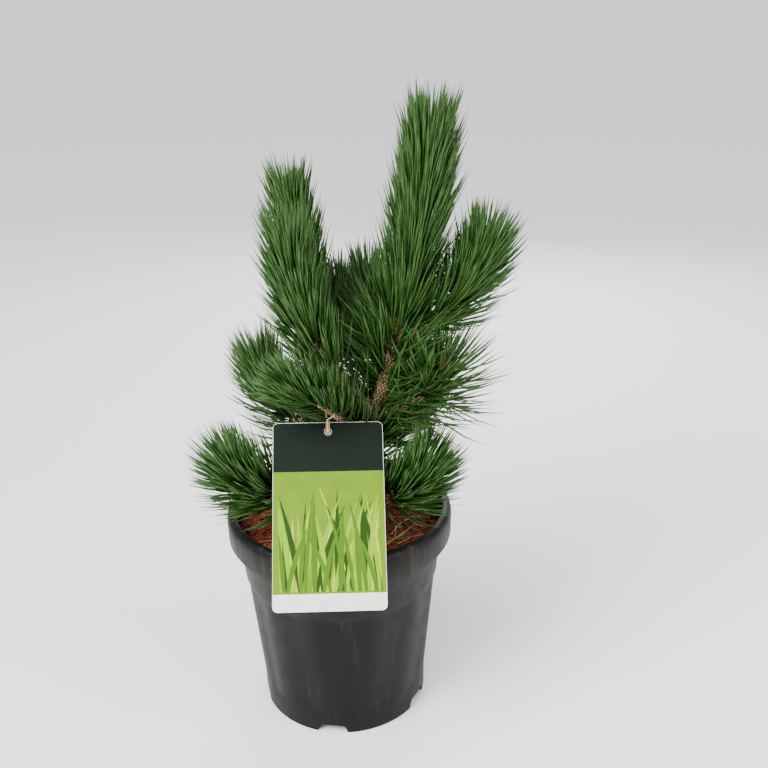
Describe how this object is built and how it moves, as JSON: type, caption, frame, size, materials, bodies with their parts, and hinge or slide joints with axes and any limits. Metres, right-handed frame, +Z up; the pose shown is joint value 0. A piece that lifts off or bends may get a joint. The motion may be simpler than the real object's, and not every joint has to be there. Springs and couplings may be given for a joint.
{
  "type": "potted bosnian pine",
  "caption": "Young pine with upright brush-like shoots in a round plastic nursery pot filled with bark mix, with a hanging card label.",
  "frame": {"origin": "on the ground under the middle of the pot", "axes": "+Z up, -Y towards the side that carries the label, +X to the right as seen from there"},
  "size_m": [0.335, 0.2831, 0.6317],
  "materials": {
    "pot": "moulded, satin",
    "potting_mix": "rough fibre",
    "bark": "scaly bark",
    "needles": "waxy needles",
    "label": "coated printed card",
    "tie": "soft cord"
  },
  "bodies": {
    "root": {"bough_back_centre": "bark", "bough_back_left": "bark", "bough_back_low": "bark", "bough_back_right": "bark", "bough_centre": "bark", "bough_left_back": "bark", "bough_left_front": "bark", "bough_left_mid": "bark", "bough_lower_left": "bark", "bough_lower_right": "bark", "bough_right_mid": "bark", "bough_right_upper": "bark", "label_card": "label", "label_tie": "tie", "needles_back_centre": "needles", "needles_back_left": "needles", "needles_back_low": "needles", "needles_back_right": "needles", "needles_centre": "needles", "needles_leader": "needles", "needles_left_back": "needles", "needles_left_front": "needles", "needles_left_mid": "needles", "needles_lower_left": "needles", "needles_lower_right": "needles", "needles_right_mid": "needles", "needles_right_upper": "needles", "needles_trunk_low": "needles", "needles_trunk_middle": "needles", "pot": "pot", "potting_mix": "potting_mix", "trunk": "bark"}
  },
  "joints": []
}
